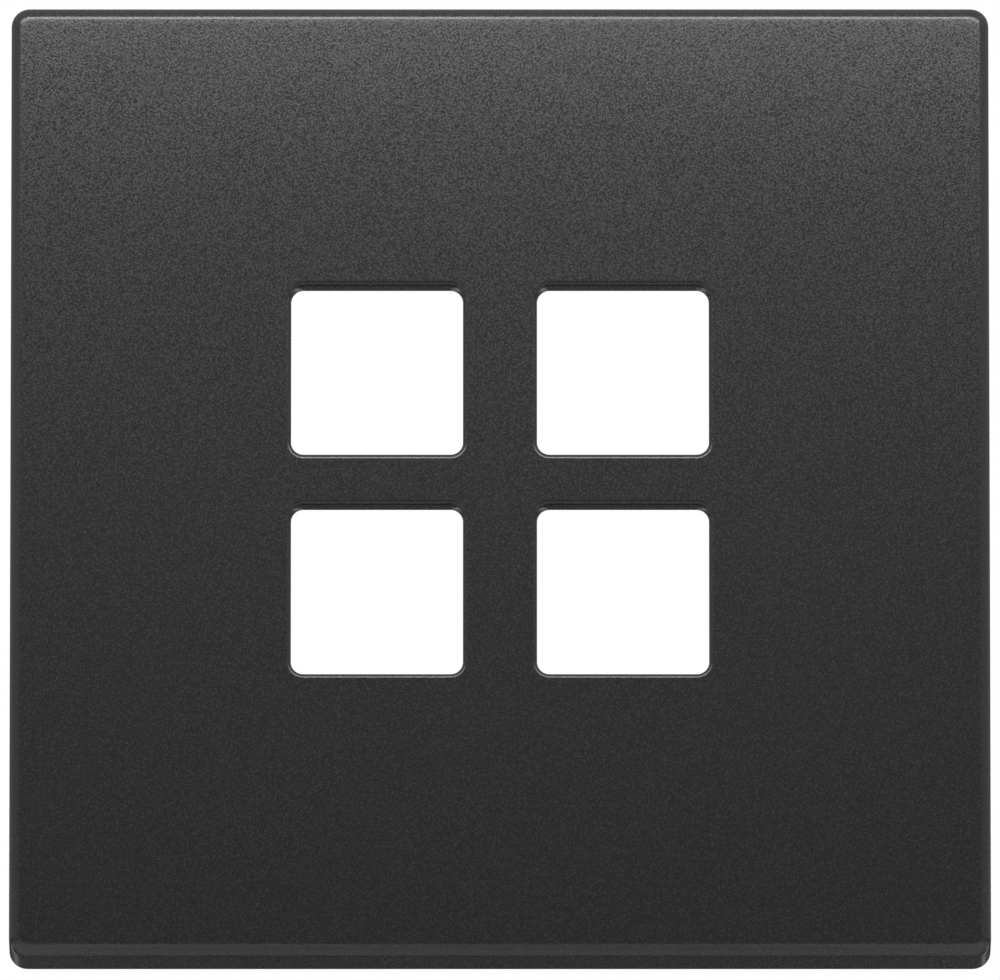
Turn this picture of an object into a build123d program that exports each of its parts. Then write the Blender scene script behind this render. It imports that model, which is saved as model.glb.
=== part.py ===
"""Switch plate: a square moulded cover with four rounded key openings, open at the back.

Units are millimetres. The plate stands upright as it does on a wall: X runs to the right,
Z runs up, the front face looks along -Y, and the origin is the centre of the rear rim plane.
"""

import os

from build123d import *

# Outside of the plate
plate_width = 86.0
plate_height = 86.0
plate_depth = 5.6
outer_corner_radius = 1.6
front_edge_radius = 1.2

# Hollow back: the face and the skirt that runs round it
face_thickness = 2.2
skirt_wall = 1.8
pocket_corner_radius = 0.8
pocket_root_radius = 0.5

# Key openings, two columns by two rows
opening_width = 15.1
opening_height = 15.3
column_pitch = 21.6
row_pitch = 19.9
opening_corner_radius = 1.1
opening_edge_radius = 0.5

# Ribs on the inside of the face; the switch's carrier frame seats on their tops
rib_thickness = 1.2
rib_height = 1.0
rib_draft = 1.0
rib_margin = 3.0

# Snap lugs on the left and right skirt walls, which hold the edge of the carrier frame
carrier_edge = 1.0
lug_length = 9.0
lug_reach = 0.7
lug_spacing = 60.0
lug_catch = 0.3
lug_tip = 0.2
lug_lead_in = 0.6

# Sizes that follow from the values above
pocket_width = plate_width - 2 * skirt_wall
pocket_height = plate_height - 2 * skirt_wall
pocket_depth = plate_depth - face_thickness
rib_line_x = (column_pitch + opening_width) / 2 + rib_margin
rib_line_z = (row_pitch + opening_height) / 2 + rib_margin
lug_root_x = pocket_width / 2
lug_tip_x = lug_root_x - lug_reach
skirt_middle_x = lug_root_x + skirt_wall / 2
catch_start_y = -(pocket_depth - rib_height - carrier_edge)
catch_end_y = catch_start_y + lug_catch
lead_in_start_y = catch_end_y + lug_tip
lead_in_end_y = lead_in_start_y + lug_lead_in

os.makedirs("parts", exist_ok=True)

with BuildPart() as switch_plate:
    # Outer block from the rear rim to the front face, with its rounded front edge
    with BuildSketch(Plane.XZ):
        RectangleRounded(plate_width, plate_height, outer_corner_radius)
    extrude(amount=plate_depth)
    fillet(faces().sort_by(Axis.Y)[0].edges(), front_edge_radius)

    # Hollow back, with a fillet where the skirt meets the inside of the face
    with BuildSketch(Plane.XZ):
        RectangleRounded(pocket_width, pocket_height, pocket_corner_radius)
    extrude(amount=pocket_depth, mode=Mode.SUBTRACT)
    fillet(edges().filter_by_position(Axis.Y, -pocket_depth, -pocket_depth), pocket_root_radius)

    # Key openings cut through the face, each with a rolled front edge
    with BuildSketch(Plane.XZ.offset(plate_depth)):
        with GridLocations(column_pitch, row_pitch, 2, 2):
            RectangleRounded(opening_width, opening_height, opening_corner_radius)
    extrude(amount=-plate_depth, mode=Mode.SUBTRACT)
    fillet(faces().sort_by(Axis.Y)[0].inner_wires().edges(), opening_edge_radius)

    # Rib grid: two ribs each way from skirt to skirt, and a cross between the openings
    with BuildSketch(Plane.XZ.offset(pocket_depth)):
        with GridLocations(2 * rib_line_x, 0, 2, 1):
            Rectangle(rib_thickness, plate_height - skirt_wall)
        with GridLocations(0, 2 * rib_line_z, 1, 2):
            Rectangle(plate_width - skirt_wall, rib_thickness)
        Rectangle(rib_thickness, 2 * rib_line_z)
        Rectangle(2 * rib_line_x, rib_thickness)
    extrude(amount=-rib_height, taper=rib_draft)

    # Snap lugs: a wedge with a steep catch on the inside and a lead-in slope towards the rim
    with BuildSketch(Plane.XY.offset((lug_spacing - lug_length) / 2)):
        with BuildLine():
            Polyline(
                (skirt_middle_x, catch_start_y),
                (lug_root_x, catch_start_y),
                (lug_tip_x, catch_end_y),
                (lug_tip_x, lead_in_start_y),
                (lug_root_x, lead_in_end_y),
                (skirt_middle_x, lead_in_end_y),
                close=True,
            )
        make_face()
    right_lug = extrude(amount=lug_length)
    left_lug = mirror(right_lug, about=Plane.YZ)
    mirror([right_lug, left_lug], about=Plane.XY)

switch_plate.part.label = "switch_plate"
export_step(switch_plate.part, "parts/switch_plate.step")
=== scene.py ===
# %% [markdown]
# # A moulded switch plate
#
# The object is the cover of a push-button light switch: a square plate, moulded in one piece, with
# four openings for the keys and an open, ribbed back. Everything that you see here is that one
# moulding and its lacquer, so the lesson is about edges: how a flat slab becomes a part that looks
# moulded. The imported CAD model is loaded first. It fixes the place and the size, and nothing below
# moves it.

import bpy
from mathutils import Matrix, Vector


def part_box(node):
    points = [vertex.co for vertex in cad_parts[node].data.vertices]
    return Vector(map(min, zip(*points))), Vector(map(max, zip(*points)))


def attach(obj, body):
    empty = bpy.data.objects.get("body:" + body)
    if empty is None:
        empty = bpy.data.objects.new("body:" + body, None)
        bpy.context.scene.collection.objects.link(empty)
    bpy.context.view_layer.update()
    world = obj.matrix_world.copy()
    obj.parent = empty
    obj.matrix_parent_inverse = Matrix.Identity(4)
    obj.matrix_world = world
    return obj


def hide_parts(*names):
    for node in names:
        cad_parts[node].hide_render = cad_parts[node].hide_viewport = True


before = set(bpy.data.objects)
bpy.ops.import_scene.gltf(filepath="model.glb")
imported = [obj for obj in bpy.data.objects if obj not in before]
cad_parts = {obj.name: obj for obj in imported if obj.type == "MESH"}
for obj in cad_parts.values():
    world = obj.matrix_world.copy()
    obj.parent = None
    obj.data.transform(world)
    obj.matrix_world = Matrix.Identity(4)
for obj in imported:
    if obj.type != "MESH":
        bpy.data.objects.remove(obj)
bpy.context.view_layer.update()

# %% [markdown]
# The plate stands as it does on a wall, with its face towards -Y and +Z up, and the plane of its rear
# rim is y = 0. All outside sizes are read from the CAD node, so that the mesh follows the frame.
# Blender works in metres, and this part is easier to think about in millimetres, so one value
# converts them.

# %% Read the outside sizes from the CAD node
import math

import bmesh
import bpy
from mathutils import Matrix, Vector

mm = 0.001
plate_low, plate_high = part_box("switch_plate")
half_width = plate_high.x
half_height = plate_high.z
front_y = plate_low.y
rim_y = plate_high.y
print(f"plate {2 * half_width / mm:.1f} x {2 * half_height / mm:.1f} x {(rim_y - front_y) / mm:.1f} mm")

# %% [markdown]
# ## Camera
#
# The photograph looks straight at the plate from slightly below: its vertical edges stay parallel,
# the underside shows as a narrow band, and the top edge hides itself. A very long lens gives that
# nearly parallel look, where an orthographic camera would leave no perspective at all. The distance
# follows from the width of the picture, of which the plate fills 979 pixels in 1000.

# %% Place the camera
picture_width_px = 1000
plate_width_px = 979
view_below = math.radians(14.65)
aim_below = 0.29 * mm
lens_mm = 1500
sensor_mm = 36

picture_width = 2 * half_width * picture_width_px / plate_width_px
camera_distance = picture_width * lens_mm / sensor_mm
to_camera = Vector((0, -math.cos(view_below), -math.sin(view_below)))
target = (plate_low + plate_high) / 2 - Vector((0, 0, aim_below))

camera = bpy.data.objects.new("camera", bpy.data.cameras.new("camera"))
camera.data.lens = lens_mm
camera.data.sensor_width = sensor_mm
camera.location = target + to_camera * camera_distance
camera.rotation_euler = (-to_camera).to_track_quat("-Z", "Y").to_euler()
bpy.context.scene.collection.objects.link(camera)
bpy.context.scene.camera = camera
bpy.context.scene.view_settings.view_transform = "Standard"
print(f"camera {camera_distance:.3f} m away")

# %% [markdown]
# ## Writing shaders as sums
#
# Node trees get long when every addition is a node made by hand. This small class wraps one output
# socket, and Python's operators add the Math node that they stand for, so `1 - mask` is a node too.
# Any other node comes from `node`: its type, its settings, then what its sockets hold or link to.

# %% Make a socket that can be used in sums
class Signal:
    def __init__(self, tree, socket=None):
        self.tree = tree
        self.socket = socket

    def node(self, kind, settings, inputs, output=0):
        made = self.tree.nodes.new(kind)
        for name, value in settings.items():
            setattr(made, name, value)
        for name, value in inputs.items():
            if isinstance(value, Signal):
                self.tree.links.new(value.socket, made.inputs[name])
            else:
                made.inputs[name].default_value = value
        return Signal(self.tree, made.outputs[output] if made.outputs else None)

    def math(self, operation, *values):
        return self.node("ShaderNodeMath", {"operation": operation}, dict(enumerate(values)))

    def __add__(self, other):
        return self.math("ADD", self, other)

    __radd__ = __add__

    def __sub__(self, other):
        return self.math("SUBTRACT", self, other)

    def __rsub__(self, other):
        return self.math("SUBTRACT", other, self)

    def __mul__(self, other):
        return self.math("MULTIPLY", self, other)

    __rmul__ = __mul__

    def rise(self, start, end):
        inputs = {"Value": self, "From Min": start, "From Max": end}
        return self.node("ShaderNodeMapRange", {"interpolation_type": "SMOOTHSTEP"}, inputs)


def empty_tree(owner):
    owner.use_nodes = True
    owner.node_tree.nodes.clear()
    print("shader tree for", owner.name)
    return Signal(owner.node_tree)


# %% [markdown]
# ## Light
#
# A dark, satin part shows its surroundings more than its colour, so the surroundings are built with
# care. The plate stands in a light tent with a dark side towards the lens: pale walls left and right,
# pale cloth overhead, a white backdrop far behind. The walls start a little above the floor. Any
# lacquer is a mirror at a glancing angle, and the gap keeps the narrow sides from turning as pale as
# the walls. A world shader can be all of that, because its Generated coordinate is the direction that
# a ray looks in. Each part of the tent is a smooth mask on that direction.

# %% Paint the tent into the world
backdrop_elevation = math.radians(15.4)
backdrop_direction = (0, math.cos(backdrop_elevation), math.sin(backdrop_elevation))
backdrop_edge = math.radians(4)
backdrop_full = math.radians(2.5)
dark_level = 0.06
ceiling_level = 0.36
ceiling_span = (0.5, 0.9)
wall_level = 0.4
wall_span = (0.3, 0.9)
wall_foot = (0.1, 0.25)
ground_level = 0.5
horizon_span = (0.0, 0.02)

world = bpy.data.worlds.new("light_tent")
tent = empty_tree(world)
looking = tent.node("ShaderNodeTexCoord", {}, {}, "Generated")
look_x = tent.node("ShaderNodeSeparateXYZ", {}, {0: looking}, "X")
look_z = tent.node("ShaderNodeSeparateXYZ", {}, {0: looking}, "Z")
dot = {"operation": "DOT_PRODUCT"}
facing = tent.node("ShaderNodeVectorMath", dot, {0: looking, 1: backdrop_direction}, "Value")

ceiling = look_z.rise(*ceiling_span)
walls = tent.math("ABSOLUTE", look_x).rise(*wall_span) * look_z.rise(*wall_foot)
backdrop = facing.rise(math.cos(backdrop_edge), math.cos(backdrop_full))
ground = (0 - look_z).rise(*horizon_span)
room = dark_level + ceiling_level * ceiling + wall_level * walls
room = room * (1 - backdrop) + backdrop
room = room * (1 - ground) + ground_level * ground
background = tent.node("ShaderNodeBackground", {}, {"Color": room})
tent.node("ShaderNodeOutputWorld", {}, {"Surface": background})
bpy.context.scene.world = world
print("tent levels", dark_level, wall_level, ceiling_level)

# %% [markdown]
# A strip softbox hangs close in front of the upper edge. It is what makes the face fade from top to
# bottom: seen in the lacquer, its reflection sits just above the plate, and the further down a point
# lies, the further it is from that reflection. A grid on its front, which Blender calls spread, keeps
# the light from spilling sideways, and dims the pale line that the top of the plate shows when it is
# seen from behind. A lamp's energy grows with its area, so the function takes the brightness that the
# lamp's own surface should have, and works the watts out.

# %% Hang the strip softbox
def hang_softbox(name, centre, width, height, brightness):
    light = bpy.data.lights.new(name, "AREA")
    light.shape = "RECTANGLE"
    light.size = width
    light.size_y = height
    light.energy = brightness * math.pi * width * height
    softbox = bpy.data.objects.new(name, light)
    softbox.location = centre
    softbox.rotation_euler = (-centre).to_track_quat("-Z", "Y").to_euler()
    bpy.context.scene.collection.objects.link(softbox)
    print(f"{name} of {light.energy:.2f} W")
    return softbox


strip_reach = 0.10
strip_bottom = 0.077
strip_height = 0.034
strip_width = 0.26
strip_brightness = 3.8
strip_spread = math.radians(110)

strip_centre = Vector((0, front_y - strip_reach, strip_bottom + strip_height / 2))
strip = hang_softbox("strip_softbox", strip_centre, strip_width, strip_height, strip_brightness)
strip.data.spread = strip_spread

# %% [markdown]
# Two large softboxes stand far behind, left and right. They light the floor there, and the back of
# the plate mirrors that floor, which is how its ribs and walls are told apart. The lamps themselves
# are taken out of the reflections: the rolled corners of the face would mirror them as white slivers
# against the white background, and the corners would look cut off.

# %% Hang the two softboxes behind
rear_size = 0.8
rear_side = 0.9
rear_distance = 1.2
rear_height = 1.3
rear_brightness = 6.0

for name, side in (("left_rear_softbox", -1), ("right_rear_softbox", 1)):
    rear_centre = Vector((side * rear_side, rear_distance, rear_height))
    rear_softbox = hang_softbox(name, rear_centre, rear_size, rear_size, rear_brightness)
    rear_softbox.visible_glossy = False

# %% [markdown]
# The floor is a plain pale sheet just under the plate. The photograph looks up from below it, so
# the sheet is drawn only from above: where a ray meets its underside, it is transparent. Further out
# it fades into the ground of the tent, so that it has no far edge. One mask does both.

# %% Lay the floor
floor_gap = 10 * mm
floor_half = 4.0
floor_grey = 0.6
fade_start = 0.35
fade_end = 0.65


def lay_sheet(name, reach_x, reach_y, level):
    bm = bmesh.new()
    place = Matrix.Translation((0, 0, level)) @ Matrix.Diagonal((reach_x, reach_y, 1, 1))
    bmesh.ops.create_grid(bm, x_segments=1, y_segments=1, size=1, matrix=place)
    mesh = bpy.data.meshes.new(name)
    bm.to_mesh(mesh)
    bm.free()
    laid = bpy.data.objects.new(name, mesh)
    bpy.context.scene.collection.objects.link(laid)
    return laid


def matt(tree, grey):
    return tree.node("ShaderNodeBsdfDiffuse", {}, {"Color": (grey, grey, grey, 1)})


floor_level = plate_low.z - floor_gap
floor = lay_sheet("floor", floor_half, floor_half, floor_level)

floor_paint = bpy.data.materials.new("floor_paint")
tree = empty_tree(floor_paint)
top_coat = matt(tree, floor_grey)
underside = tree.node("ShaderNodeNewGeometry", {}, {}, "Backfacing")
floor_point = tree.node("ShaderNodeTexCoord", {}, {}, "Object")
distance = tree.node("ShaderNodeVectorMath", {"operation": "LENGTH"}, {0: floor_point}, "Value")
hidden = underside + (1 - underside) * distance.rise(fade_start, fade_end)
clear = tree.node("ShaderNodeBsdfTransparent", {}, {})
sheet = tree.node("ShaderNodeMixShader", {}, {0: hidden, 1: top_coat, 2: clear})
tree.node("ShaderNodeOutputMaterial", {}, {"Surface": sheet})
floor.data.materials.append(floor_paint)
print(f"floor at z {floor_level / mm:.1f} mm")

# %% [markdown]
# Under the plate lies a white card between two dark strips of painted shade, which stand for the
# floor in the plate's shadow. The rolled lower edge mirrors the card as a pale band, and the painted
# shade keeps the rest of the underside dark. The card ends sharply in front and fades out towards the
# back in a painted shadow of the plate. Three sheets would do it too, but one sheet with a mask along
# its length can have a soft edge. It is seen only in reflections, and light passes through it.

# %% Lay the white card and the painted shade
card_and_shade_half_width = 65 * mm
card_and_shade_half_length = 550 * mm
card_and_shade_lift = 0.2 * mm
card_front = (-51 * mm, -50 * mm)
painted_shadow_fade = (-14 * mm, 12 * mm)
# The dark grey is painted shade: it stands for the floor in the plate's shadow.
painted_shade_grey = 0.085
card_grey = 0.9

card_and_shade_level = floor_level + card_and_shade_lift
card_and_shade_sheet = lay_sheet("card_and_painted_shade", card_and_shade_half_width, card_and_shade_half_length, card_and_shade_level)
card_and_shade_sheet.visible_camera = False
card_and_shade_sheet.visible_diffuse = False
card_and_shade_sheet.visible_shadow = False
card_and_shade_sheet.visible_transmission = False

card_and_shade_paint = bpy.data.materials.new("card_and_painted_shade")
tree = empty_tree(card_and_shade_paint)
painted_shade = matt(tree, painted_shade_grey)
white_card = matt(tree, card_grey)
card_and_shade_point = tree.node("ShaderNodeTexCoord", {}, {}, "Object")
along = tree.node("ShaderNodeSeparateXYZ", {}, {0: card_and_shade_point}, "Y")
# The fade at the rear of this mask is a painted shadow of the plate on the card.
card_before_painted_shadow = along.rise(*card_front) * (1 - along.rise(*painted_shadow_fade))
pattern = tree.node("ShaderNodeMixShader", {}, {0: card_before_painted_shadow, 1: painted_shade, 2: white_card})
tree.node("ShaderNodeOutputMaterial", {}, {"Surface": pattern})
card_and_shade_sheet.data.materials.append(card_and_shade_paint)
print("card from", card_front[0] / mm, "to", painted_shadow_fade[1] / mm, "mm")

# %% [markdown]
# ## The plate
#
# A moulding like this could be cut out of a block with booleans, but booleans leave ragged meshes
# that bevel badly. It is cleaner to score a thin slab with a grid of knife cuts that already holds
# every straight line of the part, and then to push cells of that grid up and out. All rounds come
# last. The sizes are those of the CAD model, and the lines of the ribs follow from the openings.

# %% Set out the sizes of the moulding
face_thickness = 2.2 * mm
skirt_wall = 1.8 * mm
opening_width = 15.1 * mm
opening_height = 15.3 * mm
column_pitch = 21.6 * mm
row_pitch = 19.9 * mm
rib_thickness = 1.2 * mm
rib_height = 1.0 * mm
rib_margin = 3.0 * mm
lug_length = 9.0 * mm
lug_spacing = 60.0 * mm

inside_y = front_y + face_thickness
rib_top_y = inside_y + rib_height
pocket_half_width = half_width - skirt_wall
pocket_half_height = half_height - skirt_wall
rib_x = (column_pitch + opening_width) / 2 + rib_margin
rib_z = (row_pitch + opening_height) / 2 + rib_margin
print(f"ribs at x {rib_x / mm:.2f} and z {rib_z / mm:.2f} mm")

# %% [markdown]
# The slab is the thickness of the face alone. Each bisect runs a straight cut through the whole slab,
# front and back, and fills nothing, so every cut only adds edges where a wall will stand later.

# %% Score a slab along every straight line of the part
def score(bm, axis, places):
    across = Vector((axis == "x", axis == "y", axis == "z"))
    for place in places:
        everything = bm.verts[:] + bm.edges[:] + bm.faces[:]
        bmesh.ops.bisect_plane(bm, geom=everything, plane_co=across * place, plane_no=across)


def both_sides(*places):
    return [sign * place for place in places for sign in (-1, 1)]


def band(middle, width):
    return middle - width / 2, middle + width / 2


bm = bmesh.new()
slab_size = Matrix.Diagonal((2 * half_width, face_thickness, 2 * half_height, 1))
slab_place = Matrix.Translation((0, front_y + face_thickness / 2, 0))
bmesh.ops.create_cube(bm, size=1, matrix=slab_place @ slab_size)
column = band(column_pitch / 2, opening_width)
row = band(row_pitch / 2, opening_height)
lug_ends = band(lug_spacing / 2, lug_length)
score(bm, "x", both_sides(rib_thickness / 2, *column, *band(rib_x, rib_thickness), pocket_half_width))
score(bm, "z", both_sides(rib_thickness / 2, *row, *band(rib_z, rib_thickness), pocket_half_height))
score(bm, "z", both_sides(*lug_ends))
print(len(bm.faces), "cells")

# %% [markdown]
# The keys of the switch stand in four windows. Taking away the front and the back cell of a window
# leaves two square rims that face each other, and bridging them builds the four walls between. A
# boolean cut would do the same, but the bridge keeps the edges in clean loops for the rounds.

# %% Open the four key windows
def within(value, limits):
    return limits[0] < value < limits[1]


def in_window(centre):
    return within(abs(centre.x), column) and within(abs(centre.z), row)


panes = [face for face in bm.faces if in_window(face.calc_center_median())]
window_rims = {}
for pane in panes:
    centre = pane.calc_center_median()
    window_rims.setdefault((centre.x > 0, centre.z > 0), []).extend(pane.edges)
bmesh.ops.delete(bm, geom=panes, context="FACES_ONLY")
for rim_edges in window_rims.values():
    bmesh.ops.bridge_loops(bm, edges=rim_edges)
bmesh.ops.recalc_face_normals(bm, faces=bm.faces[:])
print(len(window_rims), "windows")

# %% [markdown]
# The back of such a plate is hollow. A skirt runs round it and rests on the wall, and low ribs keep
# the thin face flat and carry the frame of the switch. Both are cells of the grid, pushed out of the
# back in two lifts: skirt and ribs together to the tops of the ribs, then the skirt alone to the rim.
# Extruding a region leaves its old faces inside the wall, so they are deleted.

# %% Raise the ribs and the skirt
tolerance = 0.001 * mm
facing_back = 0.9


def on_skirt(centre):
    return abs(centre.x) > pocket_half_width or abs(centre.z) > pocket_half_height


def on_rib(centre):
    x, z = abs(centre.x), abs(centre.z)
    long_rib = within(x, band(rib_x, rib_thickness)) or within(z, band(rib_z, rib_thickness))
    cross = (x < rib_thickness / 2 and z < rib_z) or (z < rib_thickness / 2 and x < rib_x)
    return long_rib or cross


def near(a, b):
    return abs(a - b) < tolerance


def grow(bm, cells):
    grown = bmesh.ops.extrude_face_region(bm, geom=cells)
    bmesh.ops.delete(bm, geom=cells, context="FACES")
    return [item for item in grown["geom"] if isinstance(item, bmesh.types.BMVert)]


def raise_cells(bm, start_y, height, belongs):
    cells = []
    for face in bm.faces:
        centre = face.calc_center_median()
        if near(centre.y, start_y) and face.normal.y > facing_back and belongs(centre):
            cells.append(face)
    count = len(cells)
    bmesh.ops.translate(bm, verts=grow(bm, cells), vec=(0, height, 0))
    return count


ribbed = raise_cells(bm, inside_y, rib_height, lambda centre: on_skirt(centre) or on_rib(centre))
walled = raise_cells(bm, rib_top_y, rim_y - rib_top_y, on_skirt)
print(ribbed, "cells raised to the rib tops,", walled, "of them to the rim")

# %% [markdown]
# No screw shows on the face, so the plate clips on. Four small lugs stand on the inside of the left
# and right walls and snap behind the edge of the switch's frame, which then sits between them and the
# ribs. Two more cuts mark their roots on the wall. The roots are pushed inwards, and what was their
# front and rear edge moves to make a steep catch and a sloping lead-in.

# %% Push the snap lugs out of the skirt
carrier_edge = 1.0 * mm
lug_reach = 0.7 * mm
lug_catch = 0.3 * mm
lug_tip = 0.2 * mm
lug_lead_in = 0.6 * mm
catch_start_y = rib_top_y + carrier_edge
catch_end_y = catch_start_y + lug_catch
lead_in_start_y = catch_end_y + lug_tip
lead_in_end_y = lead_in_start_y + lug_lead_in

score(bm, "y", (catch_start_y, lead_in_end_y))
lug_roots = []
for face in bm.faces:
    centre = face.calc_center_median()
    on_wall = near(abs(centre.x), pocket_half_width)
    in_height = within(centre.y, (catch_start_y, lead_in_end_y))
    if on_wall and in_height and within(abs(centre.z), lug_ends):
        lug_roots.append(face)
lug_count = len(lug_roots)
for vert in grow(bm, lug_roots):
    vert.co.x -= math.copysign(lug_reach, vert.co.x)
    vert.co.y = catch_end_y if near(vert.co.y, catch_start_y) else lead_in_start_y
print(lug_count, "lugs")

# %% [markdown]
# ## The rounds
#
# Now the part looks folded from card. What makes it look moulded is that every edge has a radius. The
# corners that run from front to back come first, because the front edges then go round them in one
# smooth chain. Bevel does it all: with a profile of 0.5 its section is an arc, and ten segments keep
# it smooth close up.

# %% Round the corners from front to back
outer_corner_radius = 1.6 * mm
pocket_corner_radius = 0.8 * mm
opening_corner_radius = 1.1 * mm
corner_segments = 10


def round_edges(bm, edges, radius, segments):
    bmesh.ops.bevel(
        bm,
        geom=edges,
        offset=radius,
        affect="EDGES",
        segments=segments,
        profile=0.5,
        material=-1,
    )


def corner_edges(bm, x, z):
    def at_corner(vert):
        return any(near(abs(vert.co.x), a) for a in x) and any(near(abs(vert.co.z), b) for b in z)

    found = []
    for edge in bm.edges:
        runs_back = not near(edge.verts[0].co.y, edge.verts[1].co.y)
        if runs_back and all(at_corner(vert) for vert in edge.verts):
            found.append(edge)
    return found


round_edges(bm, corner_edges(bm, [half_width], [half_height]), outer_corner_radius, corner_segments)
pocket_corners = corner_edges(bm, [pocket_half_width], [pocket_half_height])
round_edges(bm, pocket_corners, pocket_corner_radius, corner_segments)
round_edges(bm, corner_edges(bm, column, row), opening_corner_radius, corner_segments)
print(len(bm.faces), "faces after the corners")

# %% [markdown]
# The front edge is rolled to a round of 1.2 mm, and the windows have a smaller one. They are the
# liveliest lines of the plate: the upper one draws the strip softbox as a thin bright line, and the
# lower one mirrors the white card under the plate. The edges are found by what they are: they lie in
# the plane of the face, and their two faces meet at a sharp angle.

# %% Roll the front edges
front_edge_radius = 1.2 * mm
opening_edge_radius = 0.5 * mm
roll_segments = 10
sharp_angle = math.radians(60)


def sharp_edges(bm, y):
    found = []
    for edge in bm.edges:
        level = all(near(vert.co.y, y) for vert in edge.verts)
        if level and edge.is_convex and edge.calc_face_angle(0) > sharp_angle:
            found.append(edge)
    return found


def outside(edge):
    return on_skirt((edge.verts[0].co + edge.verts[1].co) / 2)


outer_edges = [edge for edge in sharp_edges(bm, front_y) if outside(edge)]
round_edges(bm, outer_edges, front_edge_radius, roll_segments)
window_edges = [edge for edge in sharp_edges(bm, front_y) if not outside(edge)]
round_edges(bm, window_edges, opening_edge_radius, roll_segments)
print(len(outer_edges), "outer and", len(window_edges), "window edges rolled")

# %% [markdown]
# Where the skirt meets the inside of the face, the mould leaves a fillet, so that the plastic flows
# round the corner. It is a bevel too, of an edge that points inwards, and such an edge is found by its
# place: it follows the outline of the pocket at the level of the inside of the face.

# %% Fill the root of the skirt
pocket_root_radius = 0.5 * mm
root_segments = 5


def on_pocket_outline(co):
    x = abs(co.x) - pocket_half_width + pocket_corner_radius
    z = abs(co.z) - pocket_half_height + pocket_corner_radius
    if x > 0 and z > 0:
        return near(math.hypot(x, z), pocket_corner_radius)
    return near(max(x, z), pocket_corner_radius)


roots = [
    edge
    for edge in bm.edges
    if all(near(vert.co.y, inside_y) and on_pocket_outline(vert.co) for vert in edge.verts)
]
round_edges(bm, roots, pocket_root_radius, root_segments)
print(len(roots), "root edges filled")

# %% [markdown]
# The edges of the back are nominally sharp, but no mould and no lacquer leaves a knife edge. A tiny
# break along the rim, the tops of the ribs and the rear of the windows catches a line of light, and
# that line is what tells the eye where one wall ends and the next begins.

# %% Break the edges of the back
edge_break = 0.15 * mm
break_segments = 3

bmesh.ops.recalc_face_normals(bm, faces=bm.faces[:])
for level in (rim_y, rib_top_y, inside_y):
    back_edges = sharp_edges(bm, level)
    round_edges(bm, back_edges, edge_break, break_segments)
    print(len(back_edges), "edges broken at y", round(level / mm, 2), "mm")

# %% [markdown]
# The mesh becomes an object at the origin, because its place is already in its vertices. Smooth
# shading alone would smear the rounds into the flat faces. The weighted normals give each corner to
# its largest face, so that flat stays flat and only the rounds bend the light.

# %% Turn the bmesh into the plate
crease_angle = math.radians(35)

bmesh.ops.recalc_face_normals(bm, faces=bm.faces[:])
open_edges = [edge for edge in bm.edges if not edge.is_manifold]
volume = bm.calc_volume()
plate_mesh = bpy.data.meshes.new("plate_moulding")
bm.to_mesh(plate_mesh)
bm.free()
plate_mesh.shade_smooth()
plate_mesh.set_sharp_from_angle(angle=crease_angle)
plate = bpy.data.objects.new("plate_moulding", plate_mesh)
bpy.context.scene.collection.objects.link(plate)
flat_faces = plate.modifiers.new("flat_faces", "WEIGHTED_NORMAL")
flat_faces.keep_sharp = True
print(len(plate_mesh.polygons), "faces,", len(open_edges), "open edges,", volume / mm**3, "cubic mm")

# %% [markdown]
# ## The lacquer
#
# The plate is sprayed with a matt anthracite lacquer. Close up it is full of fine grain, because the
# powder that makes it matt stands up in it. A picture of such grain would have to be wrapped round
# the plate, and it would repeat, so the grain is noise, which has a value at every point in space. It
# reads Object coordinates, which stay with the part. Blender's noise is built on a grid, and a grid
# that lies square to the plate would show as a weave, so a Mapping node turns it first. A second,
# slow noise is the unevenness of the spraying, and a third is for the bump.

# %% Scatter the grain
grain_size = 0.15 * mm
grain_edges = (0.3, 0.7)
grain_turn = (0.5, 0.8, 0.3)
bump_shift = (0.2, 0.3, 0.4)
cloud_size = 9 * mm

lacquer = bpy.data.materials.new("anthracite_lacquer")
coat = empty_tree(lacquer)
place = coat.node("ShaderNodeTexCoord", {}, {}, "Object")
turned = coat.node("ShaderNodeMapping", {}, {"Vector": place, "Rotation": grain_turn})
elsewhere = coat.node("ShaderNodeVectorMath", {"operation": "ADD"}, {0: turned, 1: bump_shift})


def noise(where, size):
    return coat.node("ShaderNodeTexNoise", {}, {"Vector": where, "Scale": 1 / size, "Detail": 0}, "Fac")


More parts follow.
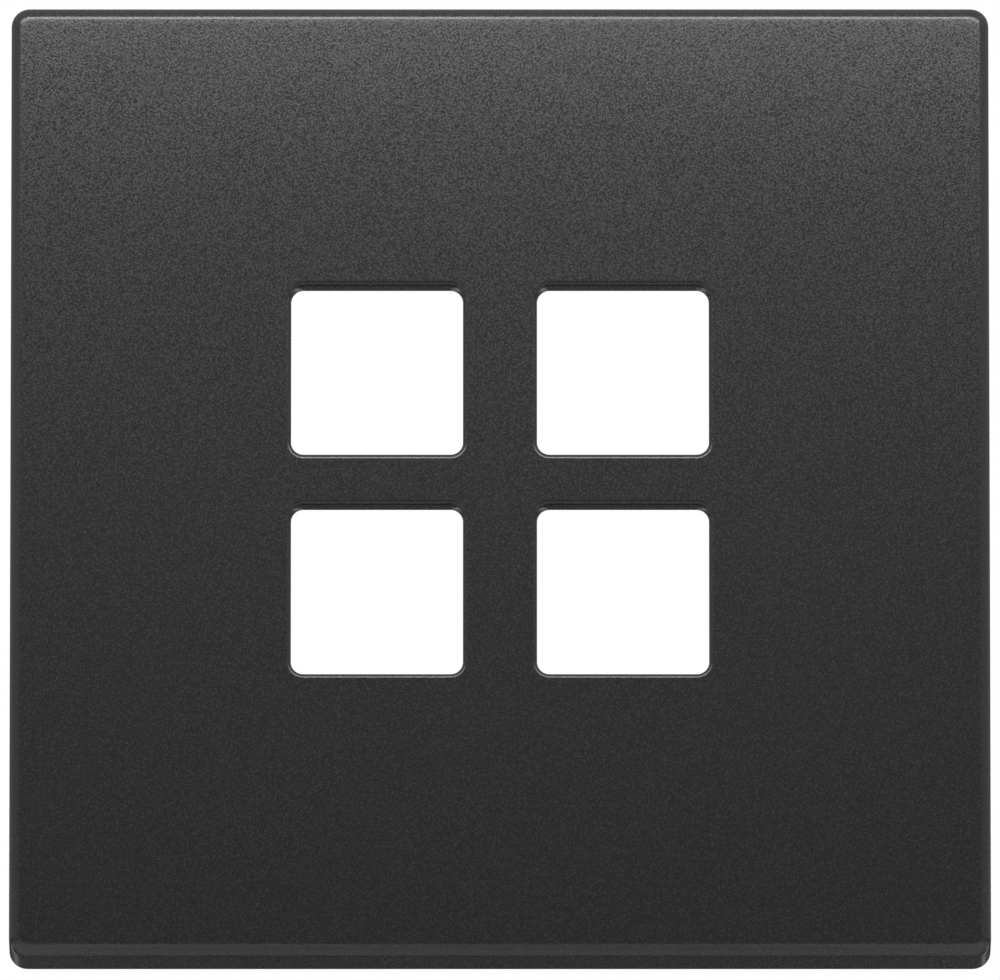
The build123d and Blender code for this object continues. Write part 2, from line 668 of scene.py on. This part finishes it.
speck = noise(turned, grain_size).rise(*grain_edges)
cloud = noise(turned, cloud_size)
height = noise(elsewhere, grain_size)
print("grain of", grain_size / mm, "mm in clouds of", cloud_size / mm, "mm")

# %% [markdown]
# Paint alone could draw the grain, but it would look the same in every light. Here most of it is in
# the roughness: a duller speck spreads the reflection of a lamp further, so the grain is strong near
# the lamp and faint far from it, and the bright lines on the edges stay whole. Well away from a
# reflection the glow of a surface grows with the fourth power of its roughness, so the glow of each
# speck is set first, and its fourth root goes into the roughness. A little grain is in the colour and
# in a bump too. A Mix node keeps sockets for numbers and vectors ahead of those for colours, and they
# share their names, so the colour sockets are picked by their place in the list.

# %% Mix the lacquer
dark_speck = (0.027, 0.027, 0.027, 1)
pale_speck = (0.038, 0.038, 0.038, 1)
mix_from = 6
mix_to = 7
mixed_colour = 2
faint_glow = 0.1
full_glow = 2.2
fourth_root = 1 / 4
matt_roughness = 0.235
cloud_swing = 0.08
noise_middle = 0.5
bump_depth = 0.006 * mm
lacquer_ior = 1.5
lacquer_gloss = 0.55

glow = faint_glow + (full_glow - faint_glow) * speck
sprayed_roughness = matt_roughness * (1 + cloud_swing * (cloud - noise_middle))
specks = {0: speck, mix_from: dark_speck, mix_to: pale_speck}
colour = coat.node("ShaderNodeMix", {"data_type": "RGBA"}, specks, mixed_colour)
bump = coat.node("ShaderNodeBump", {}, {"Height": height, "Strength": 1, "Distance": bump_depth})
shader = coat.node(
    "ShaderNodeBsdfPrincipled",
    {},
    {
        "Base Color": colour,
        "Roughness": sprayed_roughness * coat.math("POWER", glow, fourth_root),
        "IOR": lacquer_ior,
        "Specular IOR Level": lacquer_gloss,
        "Normal": bump,
    },
)
coat.node("ShaderNodeOutputMaterial", {}, {"Surface": shader})
plate_mesh.materials.append(lacquer)
print("lacquer with", len(lacquer.node_tree.nodes), "nodes")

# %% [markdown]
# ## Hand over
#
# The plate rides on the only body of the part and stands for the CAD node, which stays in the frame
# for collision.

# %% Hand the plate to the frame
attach(plate, "root")
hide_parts("switch_plate")
